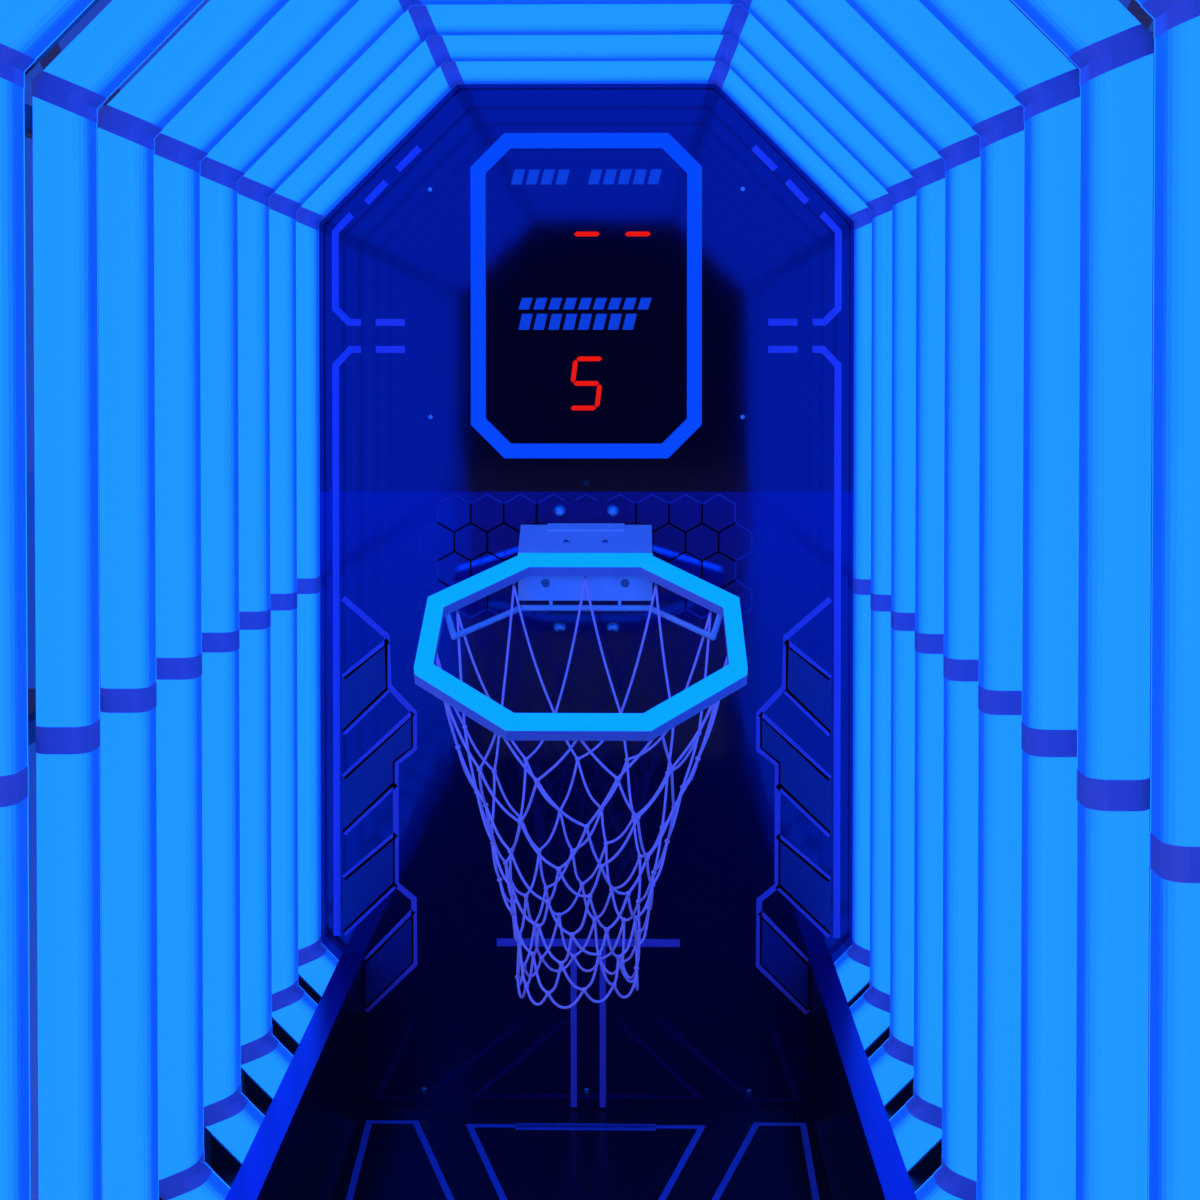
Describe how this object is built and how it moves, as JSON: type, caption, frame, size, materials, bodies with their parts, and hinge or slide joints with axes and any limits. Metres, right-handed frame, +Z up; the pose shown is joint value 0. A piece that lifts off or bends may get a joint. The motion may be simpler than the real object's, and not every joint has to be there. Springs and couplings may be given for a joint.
{
  "type": "basketball hoop machine",
  "caption": "Long caged arcade basketball machine: a chamfered tunnel of blue light tubes around a lit octagonal hoop with a net, a score display and a sloped ball-return deck.",
  "frame": {"origin": "on the floor, under the middle of the machine's bounding box", "axes": "X across to the right, Y along the machine to the back, Z up"},
  "size_m": [1.184, 3.4, 2.862],
  "materials": {
    "milky_tube": "milky diffuser tube, lit blue",
    "ring_light": "milky diffuser, lit blue",
    "frame_light": "milky diffuser, lit deep blue",
    "digit_light": "lit red segments",
    "strip_light": "light strip",
    "pale_plastic": "satin pale sleeve",
    "black_plastic": "moulded black",
    "black_paint": "satin black powder coat",
    "tinted_sheet": "tinted clear sheet",
    "frame_paint": "matt black paint on welded steel",
    "panel_laminate": "black laminate on board",
    "deck_laminate": "dark laminate with printed line pattern",
    "gloss_back": "gloss panel with printed line pattern",
    "display_black": "gloss black sheet",
    "cap_metal": "satin extrusion",
    "bracket_white": "white powder coat",
    "ring_white": "white powder coat",
    "zinc": "zinc plated",
    "bolt_steel": "plated dome head",
    "net_cord": "white braided cord",
    "button_red": "translucent cap",
    "coin_steel": "brushed door plate",
    "lock_chrome": "bright",
    "green_board": "circuit board",
    "grey_steel": "folded sheet steel",
    "wheel_rubber": "grey tread",
    "foot_rubber": "moulded pad on steel screw"
  },
  "bodies": {
    "machine": {"roof_tubes": "milky_tube", "shoulder_tubes": "milky_tube", "upper_side_tubes": "milky_tube", "lower_side_tubes": "milky_tube", "foot_tubes": "milky_tube", "light_strips": "strip_light", "tube_couplers": "pale_plastic", "tube_sockets": "black_plastic", "cage_hoops": "black_paint", "cage_rails": "black_paint", "cage_panels": "tinted_sheet", "base_frame": "frame_paint", "levelling_feet": "foot_rubber", "side_panels": "panel_laminate", "shoulder_shelves": "panel_laminate", "rail_caps": "cap_metal", "ball_deck": "deck_laminate", "deck_sides": "panel_laminate", "gate_motor": "grey_steel", "front_panel": "panel_laminate", "trough_wall": "panel_laminate", "console_top": "panel_laminate", "button_bezel": "black_plastic", "cash_box": "grey_steel", "speakers": "black_plastic", "rear_cabinet": "panel_laminate", "fan_frame": "black_plastic", "power_supply": "grey_steel", "main_board": "green_board", "mains_inlet": "black_plastic", "back_panel": "gloss_back", "panel_screws": "zinc", "display_panel": "display_black", "digit_modules": "black_plastic", "score_sensor": "black_plastic", "digit_segments": "digit_light", "display_light_frame": "frame_light", "ring_diffuser": "ring_light", "ring_channel": "ring_white", "hoop_bracket": "bracket_white", "hoop_plates": "gloss_back", "hoop_bolts": "bolt_steel", "ring_brace": "bracket_white", "net_hooks": "zinc", "net": "net_cord"},
    "start_button": {"start_button": "button_red"},
    "coin_door": {"coin_door": "coin_steel"},
    "coin_lock": {"coin_lock": "lock_chrome"},
    "rear_door": {"rear_door": "panel_laminate"},
    "rear_lock": {"rear_lock": "lock_chrome"},
    "ball_gate": {"gate_flap": "deck_laminate"},
    "fan_rotor": {"fan_rotor": "black_plastic"},
    "castor_fork_front_left": {"castor_fork_front_left": "zinc"},
    "castor_wheel_front_left": {"castor_wheel_front_left": "wheel_rubber"},
    "castor_fork_front_right": {"castor_fork_front_right": "zinc"},
    "castor_wheel_front_right": {"castor_wheel_front_right": "wheel_rubber"},
    "castor_fork_rear_left": {"castor_fork_rear_left": "zinc"},
    "castor_wheel_rear_left": {"castor_wheel_rear_left": "wheel_rubber"},
    "castor_fork_rear_right": {"castor_fork_rear_right": "zinc"},
    "castor_wheel_rear_right": {"castor_wheel_rear_right": "wheel_rubber"}
  },
  "joints": [
    {"name": "start_button_press", "type": "slide", "parent": "machine", "child": "start_button", "axis": [0, 0.3714, -0.9285], "range_m": [0, 0.004], "stiffness_N_per_m": 600},
    {"name": "coin_door_hinge", "type": "hinge", "parent": "machine", "child": "coin_door", "pos_m": [-0.129, -1.6929, 0.43], "axis": [0, 0, -1], "range_deg": [0, 110]},
    {"name": "coin_lock_turn", "type": "hinge", "parent": "coin_door", "child": "coin_lock", "pos_m": [0.1, -1.68, 0.43], "axis": [0, 1, 0], "range_deg": [0, 90]},
    {"name": "rear_door_hinge", "type": "hinge", "parent": "machine", "child": "rear_door", "pos_m": [-0.299, 1.6971, 1.2], "axis": [0, 0, 1], "range_deg": [0, 110]},
    {"name": "rear_lock_turn", "type": "hinge", "parent": "rear_door", "child": "rear_lock", "pos_m": [0.262, 1.685, 1.2], "axis": [0, 1, 0], "range_deg": [0, 90]},
    {"name": "ball_gate_lift", "type": "hinge", "parent": "machine", "child": "ball_gate", "pos_m": [0, -0.7, 0.678], "axis": [1, 0, 0], "range_deg": [0, 75]},
    {"name": "fan_spin", "type": "hinge", "parent": "machine", "child": "fan_rotor", "pos_m": [0, 1.66, 0.4], "axis": [0, 1, 0], "continuous": true},
    {"name": "castor_swivel_front_left", "type": "hinge", "parent": "machine", "child": "castor_fork_front_left", "pos_m": [-0.48, -1.43, 0.08], "axis": [0, 0, 1], "continuous": true},
    {"name": "castor_roll_front_left", "type": "hinge", "parent": "castor_fork_front_left", "child": "castor_wheel_front_left", "pos_m": [-0.48, -1.45, 0.033], "axis": [1, 0, 0], "continuous": true},
    {"name": "castor_swivel_front_right", "type": "hinge", "parent": "machine", "child": "castor_fork_front_right", "pos_m": [0.48, -1.43, 0.08], "axis": [0, 0, 1], "continuous": true},
    {"name": "castor_roll_front_right", "type": "hinge", "parent": "castor_fork_front_right", "child": "castor_wheel_front_right", "pos_m": [0.48, -1.45, 0.033], "axis": [1, 0, 0], "continuous": true},
    {"name": "castor_swivel_rear_left", "type": "hinge", "parent": "machine", "child": "castor_fork_rear_left", "pos_m": [-0.48, 1.43, 0.08], "axis": [0, 0, 1], "continuous": true},
    {"name": "castor_roll_rear_left", "type": "hinge", "parent": "castor_fork_rear_left", "child": "castor_wheel_rear_left", "pos_m": [-0.48, 1.41, 0.033], "axis": [1, 0, 0], "continuous": true},
    {"name": "castor_swivel_rear_right", "type": "hinge", "parent": "machine", "child": "castor_fork_rear_right", "pos_m": [0.48, 1.43, 0.08], "axis": [0, 0, 1], "continuous": true},
    {"name": "castor_roll_rear_right", "type": "hinge", "parent": "castor_fork_rear_right", "child": "castor_wheel_rear_right", "pos_m": [0.48, 1.41, 0.033], "axis": [1, 0, 0], "continuous": true}
  ]
}
